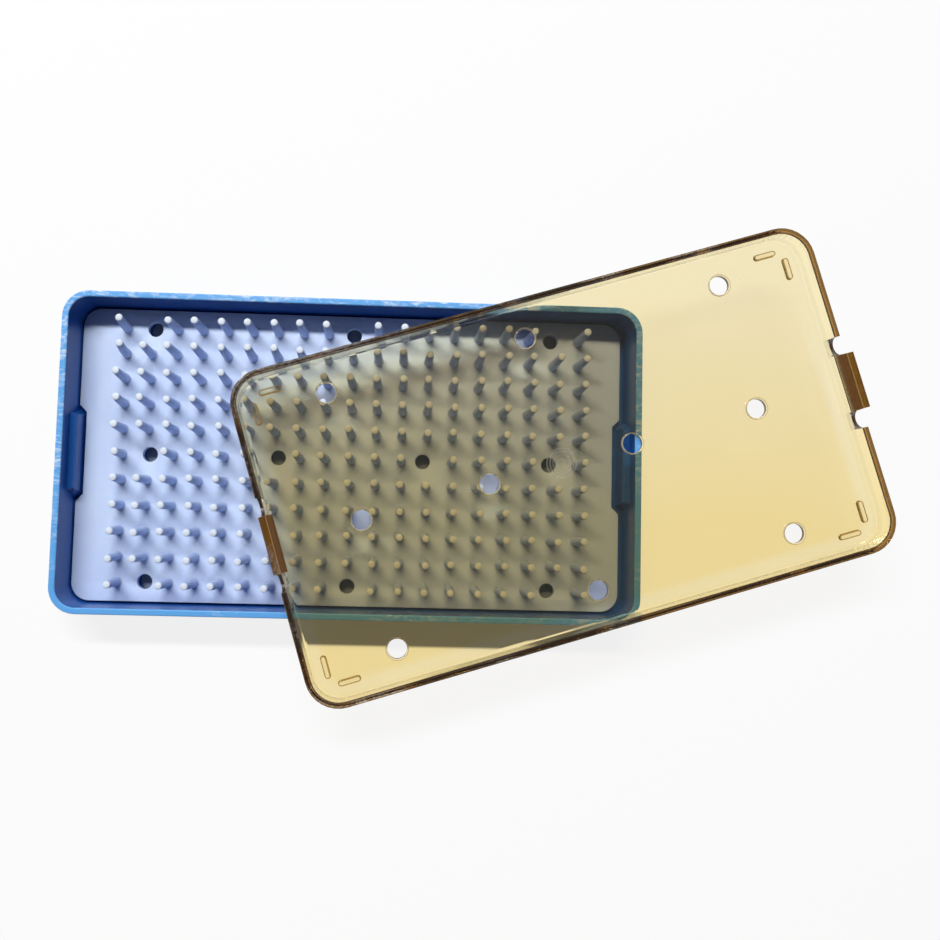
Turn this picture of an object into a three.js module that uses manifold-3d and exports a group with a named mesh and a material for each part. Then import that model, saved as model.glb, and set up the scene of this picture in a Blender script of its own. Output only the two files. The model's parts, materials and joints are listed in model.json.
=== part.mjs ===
// Instrument sterilization tray: a blue moulded base tray, a silicone finger mat
// lying in it, and an amber lid with two snap tabs. The lid lies upside down on the
// tray, turned a little and pushed to the right, as it is put down when it is opened.
//
// Millimetres, +Z up. The origin is the middle of the tray's underside, and +X runs
// along the tray's long side. Sizes are named here and everything else follows them.

import * as THREE from 'three';
import { mergeGeometries, mergeVertices } from 'three/addons/utils/BufferGeometryUtils.js';
import Module from 'manifold-3d';

// Overrun of every cutting shape past the face that it cuts, and the depth that a
// joined shape is sunk into the one that carries it.
const overrun = 4;
const sink = 0.4;

// Clearance left where one separate piece lies on another.
const restGap = 0.3;

// Base tray
const trayLength = 190.5;
const trayWidth = 104.8;
const trayHeight = 17.0;
const trayCornerRadius = 8.6;
const trayWall = 2.1;
const trayFloor = 2.2;
const trayLean = 0.45;            // each wall leans out by this from foot to rim
const trayFootRound = 1.8;        // outside, where the walls meet the underside
const trayInnerRound = 0.9;       // inside, where the walls meet the floor
const rimRound = 0.4;             // both edges of the rim

// Catch: a recess in each end wall, behind a block on the wall's inside
const catchDrop = 8.8;            // from the rim down to the ledge that the tab hooks under
const catchRoof = 3.2;            // material above the recess, up to the block's top
const catchWall = 1.9;            // between the recess and the inside of the tray
const catchBlockWidth = 26.5;     // of the block's face, at floor level
const catchTopWidth = 24.3;       // of the block's face, at its top
const catchTopFlareShare = 0.24;  // how far the top widens towards the wall, by its depth
const catchBlockDepth = 2.3;      // how far the block stands in from the wall
const catchBlockRound = 0.45;

// Vent holes: the same ten places in the tray, the mat and the lid
const ventEndInset = 27.75;       // from the tray's ends to the outermost holes
const ventSideInset = 9.75;       // from the tray's sides to the rows beside them
const ventInnerShare = 0.3615;    // how far out the middle row's inner holes lie
const trayVentDiameter = 6.4;
const lidVentDiameter = 6.4;
const matVentDiameter = 5.1;
const lidVentChamfer = 0.35;

// Finger mat
const matThickness = 2.4;
const matEndClearance = 1.15;     // to the end walls, at floor level
const matSideClearance = 0.75;
const matCornerRadius = 6.0;
const matNotchClearance = 1.35;   // round each catch block
const matShiftX = -0.7;           // where the loose mat has slid to
const fingerPitch = 8.54;
const fingerEndMargin = 14;       // least distance from the mat's ends to a finger
const fingerSideMargin = 6;       // and from its sides
const fingerTipDrop = 0.8;        // from the tray's rim down to the fingertips
const fingerBaseDiameter = 3.2;
const fingerTipDiameter = 2.4;

// Lid
const lidClearance = 0.3;         // round the tray when the lid is shut
const lidWall = 1.9;
const lidPlate = 2.0;
const lidWallHeight = 7.1;        // from the inner face of the plate
const lidLean = 0.12;
const lidEdgeRound = 1.2;         // outside, where the walls meet the plate
const lidFootRound = 0.9;         // inside, where the walls meet the plate
const lidRimRound = 0.3;          // both edges of the walls' tops
const lidRestX = 68.4;
const lidRestY = -0.1;
const lidTurnDegrees = 17.2;

// Locating ribs near each corner of the lid, which drop just inside the tray's walls
const ribLength = 7.3;
const ribWidth = 1.8;
const ribHeight = 1.0;
const ribClearance = 1.35;        // to the tray's wall when the lid is shut
const ribCornerOffset = 6.2;      // from the ribs' crossing point to their middles

// Round gate mark in the middle of the lid
const gateOuterDiameter = 7.6;
const gateRingWidth = 0.8;
const gateHeight = 0.35;
const gateNubDiameter = 2.2;

// Snap tabs, one in the middle of each short wall of the lid
const tabRootWidth = 19.2;
const tabTipWidth = 18.2;
const tabHeight = 11.5;           // from the inner face of the plate
const tabRootDrop = 3.8;          // from the top of the wall to the tab's root
const tabNotchWidth = 5.7;        // gap on each side of a tab, with a half round floor
const tabNotchDepth = 5.6;        // from the top of the wall
const tabHook = 2.3;              // how far the hook stands in from the wall
const tabHookClearance = 0.3;     // between the hook and its ledge when shut
const tabHookLand = 0.35;
const tabLeadHeight = 0.75;       // lower, steeper part of the lead-in slope
const tabLeadRun = 0.6;
const tabTopRun = 1.75;           // upper part of the slope, measured across the wall
const tabTipRound = 0.35;

// How finely round shapes are stepped
const cornerSteps = 8;
const filletSteps = 3;
const ventSteps = 24;
const fingerSides = 8;
const ribEndSteps = 5;

const wasm = await Module();
wasm.setup();

function toSolid(geometry) {
  const bare = geometry.clone();
  bare.deleteAttribute('normal');
  bare.deleteAttribute('uv');
  const merged = mergeVertices(bare);
  return new wasm.Manifold(new wasm.Mesh({
    numProp: 3,
    vertProperties: new Float32Array(merged.attributes.position.array),
    triVerts: new Uint32Array(merged.index.array),
  }));
}

function toGeometry(solid) {
  const mesh = solid.getMesh();
  const geometry = new THREE.BufferGeometry();
  geometry.setAttribute('position', new THREE.BufferAttribute(mesh.vertProperties, 3));
  geometry.setIndex(new THREE.BufferAttribute(mesh.triVerts, 1));
  geometry.computeVertexNormals();
  return geometry;
}

// Outline of a rectangle with round corners, anticlockwise, with the same number of
// points whatever its size.
function roundedOutline(halfLength, halfWidth, radius) {
  const points = [];
  const signs = [[1, 1], [-1, 1], [-1, -1], [1, -1]];
  signs.forEach(([sx, sy], corner) => {
    const centreX = sx * (halfLength - radius);
    const centreY = sy * (halfWidth - radius);
    for (let step = 0; step <= cornerSteps; step += 1) {
      const angle = (corner + step / cornerSteps) * Math.PI / 2;
      points.push(new THREE.Vector2(
        centreX + radius * Math.cos(angle),
        centreY + radius * Math.sin(angle),
      ));
    }
  });
  return points;
}

// Closed solid through a stack of outlines, lowest first, each with as many points.
function loft(layers) {
  const count = layers[0].outline.length;
  const positions = [];
  layers.forEach(({ z, outline }) => {
    outline.forEach((point) => positions.push(point.x, point.y, z));
  });
  const index = [];
  for (let layer = 0; layer + 1 < layers.length; layer += 1) {
    for (let i = 0; i < count; i += 1) {
      const a = layer * count + i;
      const b = layer * count + (i + 1) % count;
      index.push(a, b, b + count);
      index.push(a, b + count, a + count);
    }
  }
  const top = (layers.length - 1) * count;
  THREE.ShapeUtils.triangulateShape(layers[0].outline, []).forEach(([a, b, c]) => {
    index.push(a, c, b);
  });
  THREE.ShapeUtils.triangulateShape(layers[layers.length - 1].outline, []).forEach(([a, b, c]) => {
    index.push(top + a, top + b, top + c);
  });
  const geometry = new THREE.BufferGeometry();
  geometry.setAttribute('position', new THREE.Float32BufferAttribute(positions, 3));
  geometry.setIndex(index);
  return geometry;
}

// Layers of a rounded box whose walls lean and whose lower edge is rounded off.
function boxLayers({ halfLength, halfWidth, radius, lean, bottom, top, footRound }) {
  const layers = [];
  const at = (z, inset) => {
    const drawIn = inset + lean * (top - z) / (top - bottom);
    layers.push({
      z,
      outline: roundedOutline(halfLength - drawIn, halfWidth - drawIn, radius - inset),
    });
  };
  for (let step = 0; step <= filletSteps; step += 1) {
    const angle = (step / filletSteps) * Math.PI / 2;
    const inset = footRound * (1 - Math.sin(angle));
    at(bottom + footRound * (1 - Math.cos(angle)), inset);
  }
  return { layers, at };
}

// Finish a rounded box at its top, with its outline drawn in by a rounding, or let out
// by one where the box is a cavity.
function closeWithRound(box, top, round, side) {
  for (let step = 0; step <= filletSteps; step += 1) {
    const angle = (step / filletSteps) * Math.PI / 2;
    box.at(top - round * (1 - Math.sin(angle)), side * round * (1 - Math.cos(angle)));
  }
}

function extrudeUp(points, bottom, top) {
  const geometry = new THREE.ExtrudeGeometry(new THREE.Shape(points), {
    depth: top - bottom,
    bevelEnabled: false,
  });
  geometry.translate(0, 0, bottom);
  return geometry;
}

function mirroredInX(points) {
  return points.map((point) => new THREE.Vector2(-point.x, point.y)).reverse();
}

function ventPlaces() {
  const outerX = trayLength / 2 - ventEndInset;
  const innerX = outerX * ventInnerShare;
  const rowY = trayWidth / 2 - ventSideInset;
  const sideRow = [-outerX, 0, outerX];
  const middleRow = [-outerX, -innerX, innerX, outerX];
  return [
    ...sideRow.map((x) => [x, rowY]),
    ...middleRow.map((x) => [x, 0]),
    ...sideRow.map((x) => [x, -rowY]),
  ];
}

function circleOutline(radius) {
  const points = [];
  for (let step = 0; step < ventSteps; step += 1) {
    const angle = (step / ventSteps) * Math.PI * 2;
    points.push(new THREE.Vector2(radius * Math.cos(angle), radius * Math.sin(angle)));
  }
  return points;
}

// Upright round bars that drill the ten vent holes through a plate, and flare out past
// its two faces where the holes' edges are chamfered.
function ventCutters(diameter, bottom, top, chamfer) {
  const radius = diameter / 2;
  const endRadius = chamfer > 0 ? radius + chamfer + overrun : radius;
  const bars = ventPlaces().map(([x, y]) => {
    const bar = loft([
      { z: bottom - overrun, outline: circleOutline(endRadius) },
      { z: bottom + chamfer, outline: circleOutline(radius) },
      { z: top - chamfer, outline: circleOutline(radius) },
      { z: top + overrun, outline: circleOutline(endRadius) },
    ]);
    bar.translate(x, y, 0);
    return bar;
  });
  return toSolid(mergeGeometries(bars));
}

// Heights and faces that more than one piece uses
const innerHalfLength = trayLength / 2 - trayWall;
const innerHalfWidth = trayWidth / 2 - trayWall;
const ledgeZ = trayHeight - catchDrop;
const catchTopZ = ledgeZ + catchRoof;
const leanAt = (z) => trayLean * (trayHeight - z) / trayHeight;
const catchFaceX = innerHalfLength - leanAt(catchTopZ) - catchBlockDepth;
const matZ = trayFloor + restGap;
const matTopZ = matZ + matThickness;
const fingerHeight = trayHeight - fingerTipDrop - matTopZ;
const lidZ = trayHeight + restGap;

// Base tray: a thin-walled shell with the catch blocks, their recesses and the vents
function makeTray() {
  const body = boxLayers({
    halfLength: trayLength / 2,
    halfWidth: trayWidth / 2,
    radius: trayCornerRadius,
    lean: trayLean,
    bottom: 0,
    top: trayHeight,
    footRound: trayFootRound,
  });
  closeWithRound(body, trayHeight, rimRound, 1);

  const cavity = boxLayers({
    halfLength: innerHalfLength,
    halfWidth: innerHalfWidth,
    radius: trayCornerRadius - trayWall,
    lean: leanAt(trayFloor),
    bottom: trayFloor,
    top: trayHeight,
    footRound: trayInnerRound,
  });
  closeWithRound(cavity, trayHeight, rimRound, -1);
  cavity.layers.push({
    z: trayHeight + overrun,
    outline: cavity.layers[cavity.layers.length - 1].outline,
  });

  let tray = toSolid(loft(body.layers)).subtract(toSolid(loft(cavity.layers)));

  // Outline of the block at a height, set in by a wall: its ends flare out towards the
  // wall behind it, at 45 degrees at floor level and hardly at all at its top
  const catchOutline = (z, inset, endX) => {
    const rise = Math.max(0, (z - trayFloor) / (catchTopZ - trayFloor));
    const flare = THREE.MathUtils.lerp(1, catchTopFlareShare, rise);
    const faceHalf = THREE.MathUtils.lerp(catchBlockWidth, catchTopWidth, rise) / 2;
    const faceX = catchFaceX + inset;
    const half = faceHalf + flare * inset - inset * Math.hypot(1, flare);
    const endHalf = half + flare * (endX - faceX);
    return [
      new THREE.Vector2(faceX, -half),
      new THREE.Vector2(endX, -endHalf),
      new THREE.Vector2(endX, endHalf),
      new THREE.Vector2(faceX, half),
    ];
  };

  // The block is buried in the wall. Its recess is open below and outside.
  const rootX = innerHalfLength + trayWall / 2;
  const outsideX = trayLength / 2 + overrun;
  const blockLayers = [
    { z: trayFloor - sink, inset: 0 },
    { z: trayFloor, inset: 0 },
    { z: catchTopZ - catchBlockRound, inset: 0 },
    { z: catchTopZ, inset: catchBlockRound },
  ];
  const recessLevels = [-overrun, trayFloor, ledgeZ];

  [(points) => points, mirroredInX].forEach((placed) => {
    const block = loft(blockLayers.map(({ z, inset }) => ({
      z,
      outline: placed(catchOutline(z, inset, rootX)),
    })));
    const recess = loft(recessLevels.map((z) => ({
      z,
      outline: placed(catchOutline(z, catchWall, outsideX)),
    })));
    tray = tray.add(toSolid(block)).subtract(toSolid(recess));
  });

  return tray.subtract(ventCutters(trayVentDiameter, 0, trayFloor, 0));
}

// Finger mat: a sheet with notches for the catch blocks, and rows of tapered fingers.
// A finger is missing at each vent hole.
function makeMat() {
  const footLean = leanAt(matTopZ);
  const halfLength = innerHalfLength - footLean - matEndClearance;
  const halfWidth = innerHalfWidth - footLean - matSideClearance;
  const sheetOutline = roundedOutline(halfLength, halfWidth, matCornerRadius);
  let mat = toSolid(extrudeUp(sheetOutline, matZ, matTopZ));

  const notchX = catchFaceX - matNotchClearance;
  const notchEndX = halfLength + overrun;
  const notchHalf = catchBlockWidth / 2 + matNotchClearance * Math.tan(Math.PI / 8);
  const notch = [
    new THREE.Vector2(notchX, -notchHalf),
    new THREE.Vector2(notchEndX, -notchHalf - (notchEndX - notchX)),
    new THREE.Vector2(notchEndX, notchHalf + (notchEndX - notchX)),
    new THREE.Vector2(notchX, notchHalf),
  ];
  [notch, mirroredInX(notch)].forEach((points) => {
    const cut = toSolid(extrudeUp(points, matZ - overrun, matTopZ + overrun));
    mat = mat.subtract(cut);
  });
  mat = mat.subtract(ventCutters(matVentDiameter, matZ, matTopZ, 0));

  const vents = ventPlaces();
  const clearOfVents = (x, y) => vents.every(([ventX, ventY]) => (
    Math.hypot(x - ventX, y - ventY) > (matVentDiameter + fingerBaseDiameter) / 2
  ));
  const fingers = [];
  const sunkHeight = fingerHeight + sink;
  const columnsEachWay = Math.floor((halfLength - fingerEndMargin) / fingerPitch);
  const rowsEachWay = Math.floor((halfWidth - fingerSideMargin) / fingerPitch);
  for (let row = -rowsEachWay; row <= rowsEachWay; row += 1) {
    for (let column = -columnsEachWay; column <= columnsEachWay; column += 1) {
      const x = column * fingerPitch;
      const y = row * fingerPitch;
      if (clearOfVents(x, y)) {
        const finger = new THREE.CylinderGeometry(
          fingerTipDiameter / 2,
          fingerBaseDiameter / 2,
          sunkHeight,
          fingerSides,
        );
        finger.rotateX(Math.PI / 2);
        finger.translate(x, y, matTopZ - sink + sunkHeight / 2);
        fingers.push(finger);
      }
    }
  }
  return mat.add(toSolid(mergeGeometries(fingers)));
}

// Sizes of the lid, measured from the underside of its plate as it lies
const lidHalfLength = trayLength / 2 + lidClearance + lidWall;
const lidHalfWidth = trayWidth / 2 + lidClearance + lidWall;
const lidInnerHalfLength = lidHalfLength - lidWall;
const lidInnerHalfWidth = lidHalfWidth - lidWall;
const lidTopZ = lidPlate + lidWallHeight;
const lidInnerRadius = trayCornerRadius + lidClearance;
const tabRootZ = lidTopZ - tabRootDrop;

// Upright bar with round ends, its length along X or Y
function makeRib(x, y, alongX) {
  const straight = (ribLength - ribWidth) / 2;
  const points = [];
  [1, -1].forEach((end) => {
    for (let step = 0; step <= ribEndSteps; step += 1) {
      const angle = (step / ribEndSteps - 1 / 2) * Math.PI;
      const along = end * (straight + ribWidth / 2 * Math.cos(angle));
      const across = end * ribWidth / 2 * Math.sin(angle);
      points.push(new THREE.Vector2(along, across));
    }
  });
  const rib = extrudeUp(points, lidPlate - sink, lidPlate + ribHeight);
  if (!alongX) {
    rib.rotateZ(Math.PI / 2);
  }
  rib.translate(x, y, 0);
  return rib;
}

function makeGateMark() {
  const outer = gateOuterDiameter / 2;
  const inner = outer - gateRingWidth;
  const foot = lidPlate - sink;
  const top = lidPlate + gateHeight;
  const ring = new THREE.LatheGeometry([
    new THREE.Vector2(inner, foot),
    new THREE.Vector2(outer, foot),
    new THREE.Vector2(outer, top),
    new THREE.Vector2(inner, top),
    new THREE.Vector2(inner, foot),
  ], ventSteps);
  ring.rotateX(Math.PI / 2);
  const nub = new THREE.CylinderGeometry(
    gateNubDiameter / 2,
    gateNubDiameter / 2,
    top - foot,
    ventSteps,
  );
  nub.rotateX(Math.PI / 2);
  nub.translate(0, 0, (foot + top) / 2);
  return toSolid(ring).add(toSolid(nub));
}

// Opening in a short wall that leaves room for the tab: it is flat under the tab's root
// and drops lower in the notch on each side, to a half round floor.
function makeTabOpening(side) {
  const half = tabRootWidth / 2 + tabNotchWidth;
  const round = tabNotchWidth / 2;
  const roundX = half - round;
  const roundZ = lidTopZ - tabNotchDepth + round;
  // Where each half round meets the flat under the tab
  const meet = Math.asin((roundZ - tabRootZ) / round);
  const meetX = roundX - round * Math.cos(meet);
  const shape = new THREE.Shape();
  shape.moveTo(half, lidTopZ + overrun);
  shape.lineTo(-half, lidTopZ + overrun);
  shape.lineTo(-half, roundZ);
  shape.absarc(-roundX, roundZ, round, Math.PI, Math.PI * 2 - meet, false);
  shape.lineTo(meetX, tabRootZ);
  shape.absarc(roundX, roundZ, round, Math.PI + meet, Math.PI * 2, false);
  shape.lineTo(half, lidTopZ + overrun);
  const opening = new THREE.ExtrudeGeometry(shape, {
    depth: lidWall + overrun * 2,
    curveSegments: cornerSteps,
    bevelEnabled: false,
  });
  // The outline was drawn across the wall, so it is stood up and turned to face X
  opening.rotateX(Math.PI / 2);
  opening.rotateZ(Math.PI / 2);
  opening.translate(side > 0 ? lidInnerHalfLength - overrun : -lidHalfLength - overrun, 0, 0);
  return toSolid(opening);
}

function makeLid() {
  const body = boxLayers({
    halfLength: lidHalfLength,
    halfWidth: lidHalfWidth,
    radius: lidInnerRadius + lidWall,
    lean: lidLean,
    bottom: 0,
    top: lidTopZ,
    footRound: lidEdgeRound,
  });
  closeWithRound(body, lidTopZ, lidRimRound, 1);
  const cavity = boxLayers({
    halfLength: lidInnerHalfLength,
    halfWidth: lidInnerHalfWidth,
    radius: lidInnerRadius,
    lean: lidLean,
    bottom: lidPlate,
    top: lidTopZ,
    footRound: lidFootRound,
  });
  closeWithRound(cavity, lidTopZ, lidRimRound, -1);
  cavity.layers.push({
    z: lidTopZ + overrun,
    outline: cavity.layers[cavity.layers.length - 1].outline,
  });
  let lid = toSolid(loft(body.layers)).subtract(toSolid(loft(cavity.layers)));

  const ribLineX = innerHalfLength - ribClearance - ribWidth / 2;
  const ribLineY = innerHalfWidth - ribClearance - ribWidth / 2;
  [[1, 1], [-1, 1], [-1, -1], [1, -1]].forEach(([sx, sy]) => {
    const alongX = makeRib(sx * (ribLineX - ribCornerOffset), sy * ribLineY, true);
    const alongY = makeRib(sx * ribLineX, sy * (ribLineY - ribCornerOffset), false);
    lid = lid.add(toSolid(alongX)).add(toSolid(alongY));
  });
  lid = lid.add(makeGateMark());
  lid = lid.subtract(ventCutters(lidVentDiameter, 0, lidPlate, lidVentChamfer));
  return lid.subtract(makeTabOpening(1)).subtract(makeTabOpening(-1));
}

// Snap tab in its own place: x runs out across the wall from the wall's inner face,
// z runs up from the underside of the plate. Its sides draw in towards the tip.
function makeTab() {
  const hookZ = lidPlate + catchDrop + tabHookClearance;
  const tipZ = lidPlate + tabHeight;
  const landZ = hookZ + tabHookLand;
  const leadZ = landZ + tabLeadHeight;
  const profile = [
    [0, tabRootZ + restGap],
    [lidWall, tabRootZ + restGap],
    [lidWall, tipZ - tabTipRound],
    [lidWall - tabTipRound, tipZ],
    [tabTopRun - tabHook + tabLeadRun - tabTipRound, tipZ],
    [tabLeadRun - tabHook, leadZ],
    [-tabHook, landZ],
    [-tabHook, hookZ],
    [0, hookZ],
  ];
  const points = profile.map(([x, z]) => new THREE.Vector2(x, z));
  const tab = new THREE.ExtrudeGeometry(new THREE.Shape(points), {
    depth: tabRootWidth,
    bevelEnabled: false,
  });
  tab.rotateX(Math.PI / 2);
  tab.translate(0, tabRootWidth / 2, 0);

  // The taper narrows each cross-section by its height above the root
  const position = tab.attributes.position;
  for (let i = 0; i < position.count; i += 1) {
    const rise = (position.getZ(i) - tabRootZ) / (tipZ - tabRootZ);
    const width = THREE.MathUtils.lerp(tabRootWidth, tabTipWidth, rise);
    position.setY(i, position.getY(i) * width / tabRootWidth);
  }
  return toSolid(tab);
}

function makePiece(name, solid, color, roughness, extra = {}) {
  const material = new THREE.MeshStandardMaterial({ color, roughness, metalness: 0, ...extra });
  const mesh = new THREE.Mesh(toGeometry(solid), material);
  mesh.name = name;
  return mesh;
}

const amber = { transparent: true, opacity: 0.5 };
const amberColour = 0xd9a441;
const assembly = new THREE.Group();

assembly.add(makePiece('base_tray', makeTray(), 0x2f6fb8, 0.35));

const mat = makePiece('finger_mat', makeMat(), 0xc5d3f0, 0.6);
mat.position.set(matShiftX, 0, 0);
assembly.add(mat);

const lidGroup = new THREE.Group();
lidGroup.position.set(lidRestX, lidRestY, lidZ);
lidGroup.rotation.z = THREE.MathUtils.degToRad(lidTurnDegrees);
lidGroup.add(makePiece('lid_shell', makeLid(), amberColour, 0.2, amber));

const tabSolid = makeTab();
const rightTab = makePiece('snap_tab_right', tabSolid, amberColour, 0.2, amber);
rightTab.position.set(lidInnerHalfLength, 0, 0);
lidGroup.add(rightTab);
const leftTab = makePiece('snap_tab_left', tabSolid, amberColour, 0.2, amber);
leftTab.position.set(-lidInnerHalfLength, 0, 0);
leftTab.rotation.z = Math.PI;
lidGroup.add(leftTab);
assembly.add(lidGroup);

export default assembly;
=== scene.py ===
"""Looks of an instrument sterilization tray: blue base, silicone finger mat, amber lid."""

import json
import math
import random

import bmesh
import bpy
from bpy.props import (
    FloatProperty,
    FloatVectorProperty,
    IntProperty,
    PointerProperty,
)
from bpy.types import Operator, Panel, PropertyGroup
from mathutils import Matrix, Vector


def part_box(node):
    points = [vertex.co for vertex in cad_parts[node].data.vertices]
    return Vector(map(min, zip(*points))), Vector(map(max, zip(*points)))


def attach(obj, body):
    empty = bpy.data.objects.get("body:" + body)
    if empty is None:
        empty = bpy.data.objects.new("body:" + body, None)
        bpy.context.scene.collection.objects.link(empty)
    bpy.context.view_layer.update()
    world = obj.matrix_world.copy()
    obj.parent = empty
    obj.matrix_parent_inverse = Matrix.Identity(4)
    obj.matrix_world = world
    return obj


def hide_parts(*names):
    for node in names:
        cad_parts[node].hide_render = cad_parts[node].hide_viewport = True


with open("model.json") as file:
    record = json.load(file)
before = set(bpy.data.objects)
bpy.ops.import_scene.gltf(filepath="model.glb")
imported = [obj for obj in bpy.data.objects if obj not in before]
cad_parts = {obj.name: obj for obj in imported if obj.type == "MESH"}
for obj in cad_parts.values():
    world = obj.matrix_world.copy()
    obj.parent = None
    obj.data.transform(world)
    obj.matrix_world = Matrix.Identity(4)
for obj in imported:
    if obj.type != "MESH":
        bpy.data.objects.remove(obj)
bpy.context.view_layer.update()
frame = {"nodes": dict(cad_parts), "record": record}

bl_info = {
    "name": "Sterilization Tray",
    "version": (1, 0, 0),
    "blender": (4, 5, 0),
    "location": "3D View > Sidebar > Tray",
    "description": "Finishes a moulded instrument tray with its finger mat and snap lid",
    "category": "Object",
}

MM = 0.001
TRAY_LOW, TRAY_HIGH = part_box("base_tray")
MAT_LOW, MAT_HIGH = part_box("finger_mat")
LID_LOW, LID_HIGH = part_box("lid_shell")
TAB_LOW, TAB_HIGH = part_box("snap_tab_right")
# How much longer than wide the tray is, and so the lid
EXTRA_LENGTH = (TRAY_HIGH.x - TRAY_LOW.x) - (TRAY_HIGH.y - TRAY_LOW.y)
# Side of the photograph, in which the camera was measured
IMAGE_PIXELS = 940


def linear(hex_colour):
    """Turn an sRGB hex colour into the linear colour that a shader takes."""
    channels = [int(hex_colour[i:i + 2], 16) / 255 for i in (1, 3, 5)]
    return tuple(
        c / 12.92 if c <= 0.04045 else ((c + 0.055) / 1.055) ** 2.4
        for c in channels
    )


def colour_setting(name, description, hex_colour):
    """Colour property with the given default."""
    return FloatVectorProperty(
        name=name, description=description, subtype="COLOR",
        size=3, min=0.0, max=1.0, default=linear(hex_colour),
    )


def length_setting(name, description, millimetres):
    """Length property, given in millimetres and kept in metres."""
    return FloatProperty(
        name=name, description=description, unit="LENGTH", default=millimetres * MM,
    )


class BaseTraySettings(PropertyGroup):
    """Finish of the blue base tray."""

    blue: colour_setting("Polymer", "Colour of the moulded walls", "#1f5caa")
    deep_blue: colour_setting("Flow marks", "Darker swirls left by moulding", "#1a529c")
    # Painted light: the rim's upward faces get this paler blue for the light they catch, besides
    # the rubbing
    lit_rim_blue: colour_setting("Rim", "Paler colour of the rubbed rim", "#66b0f4")
    # Real scuffs, drawn more often towards the back as a painted highlight of the lamp
    scuff_and_highlight: colour_setting("Scuffs", "Pale rubbed places along the rim", "#e4f1fe")
    grain: length_setting("Grain", "Size of the moulded surface's fine grain", 0.35)


class FingerMatSettings(PropertyGroup):
    """Sizes and finish of the silicone finger mat."""

    sheet_thickness: length_setting("Sheet", "Thickness of the sheet", 2.4)
    corner_radius: length_setting("Corners", "Radius of the sheet's corners", 6.0)
    edge_round: length_setting("Edges", "Rounding of the sheet's edges", 0.45)
    notch_width: length_setting("Notch width", "Width of each notch at its back", 27.62)
    notch_depth: length_setting("Notch depth", "Depth of each notch from the end", 2.35)
    vent_diameter: length_setting("Vents", "Diameter of the vent holes", 5.1)
    vent_outer: length_setting("Outer vents", "Outer vents from the middle", 67.5)
    vent_inner: length_setting("Inner vents", "Inner vents from the middle", 24.4)
    vent_row: length_setting("Vent rows", "Front and back vents from the middle", 42.65)
    pitch: length_setting("Pitch", "Distance between fingers", 8.54)
    base_diameter: length_setting("Finger foot", "Diameter of a finger at its foot", 3.2)
    tip_diameter: length_setting("Finger tip", "Diameter of a finger at its tip", 2.4)
    tip_round: length_setting("Tip rounding", "Rounding round a finger's tip", 0.28)
    foot_flare: FloatProperty(
        name="Foot flare", description="How much a finger widens at its foot", default=1.05,
    )
    lean: length_setting("Stray", "How far a finger's tip strays from its neighbours", 0.22)
    lean_left: length_setting("Lean left", "Lean of the tips over the left half", -0.5)
    lean_right: length_setting("Lean right", "Lean of the tips at the right end", 0.85)
    lean_back: length_setting("Lean back", "Lean of the back row's tips", 1.25)
    lean_front: length_setting("Lean front", "Lean of the front row's tips", -0.35)
    columns: IntProperty(name="Columns", description="Fingers along the mat", default=19)
    rows: IntProperty(name="Rows", description="Fingers across the mat", default=11)
    seed: IntProperty(name="Seed", description="Start of the fingers' random lean", default=7)
    sheet: colour_setting("Silicone", "Colour of the sheet", "#ccdcfc")
    # Painted shade: a finger's sides get this darker blue for the shade on them
    foot: colour_setting("Finger sides", "Colour low on a finger", "#b3c5ea")
    # Painted highlight: the tip discs get this paler colour for the light they catch
    tip: colour_setting("Finger tips", "Colour of the finger tips", "#e4edff")


class LidSettings(PropertyGroup):
    """Finish of the clear amber lid."""

    amber: colour_setting("Amber", "Colour of white light past the plate", "#fce6a2")
    # Painted light: this paler amber is drawn to the back, and beside the walls as a painted
    # reflection
    painted_light_amber: colour_setting("Pale amber", "The same, to the back and by the walls", "#fef1c6")
    rib_amber: colour_setting("Ribs", "Deeper amber where a rib adds to the plate", "#f6dfa0")
    edge: colour_setting("Wall edges", "Colour of the walls seen edge on", "#633709")
    dark_edge: colour_setting("Edge streaks", "Dark streaks along the walls' edges", "#1e0f04")
    pale_edge: colour_setting("Edge glints", "Pale streaks along the walls' edges", "#cfa468")
    tab: colour_setting("Tabs", "Colour of the snap tabs", "#7e4f0a")
    notch: colour_setting("Notches", "Floors of the notches, seen edge on", "#3c260c")
    # Pale speckled patches on the walls' edges
    frost: colour_setting("Frost", "Rubbed places on the walls' edges", "#c3b2a6")
    outline: colour_setting("Outlines", "Small upright faces seen edge on", "#a67c30")
    # Painted highlight: the cream glint on each hole's chamfer
    chamfer: colour_setting("Chamfers", "Cream ring round each vent hole", "#f6e9c6")
    weld: colour_setting("Fine lines", "Weld lines and the rings of the gate mark", "#f4ecd2")
    shade: colour_setting("Shade", "Light that gets past one face of the lid", "#e2ddd6")
    wall: length_setting("Wall", "Thickness of the lid's walls", 1.9)
    plate: length_setting("Plate", "Thickness of the lid's plate", 2.0)
    rib_length: length_setting("Rib length", "Length of a corner rib", 7.3)
    rib_width: length_setting("Rib width", "Width of a corner rib", 1.8)
    rib_inset: length_setting("Rib inset", "Middle of a rib from the wall beside it", 4.65)
    rib_offset: length_setting("Rib offset", "Middle of a rib from where the two would cross", 6.2)
    corner_radius: length_setting("Corners", "Radius inside the lid's corners", 8.9)
    hole_radius: length_setting("Holes", "Radius of the lid's vent holes", 3.2)
    chamfer_width: length_setting("Chamfer width", "Width of the holes' chamfers", 0.35)
    gate_radius: length_setting("Gate mark", "Radius of the ring in the plate's middle", 4.8)
    tab_width: length_setting("Tab width", "Width of a snap tab", 19.2)
    tab_opening: length_setting("Tab opening", "Width of a tab and the notches beside it", 30.6)
    notch_rim: length_setting("Notch rim", "Reach of a notch's slope past the wall's inside", 0.75)
    streak: length_setting("Streak", "Width of the streaks in the walls' edges", 0.8)
    ior: FloatProperty(name="IOR", description="Refractive index", default=1.58)
    roughness: FloatProperty(
        name="Roughness", description="Haze of the surface", default=0.04,
    )


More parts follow.
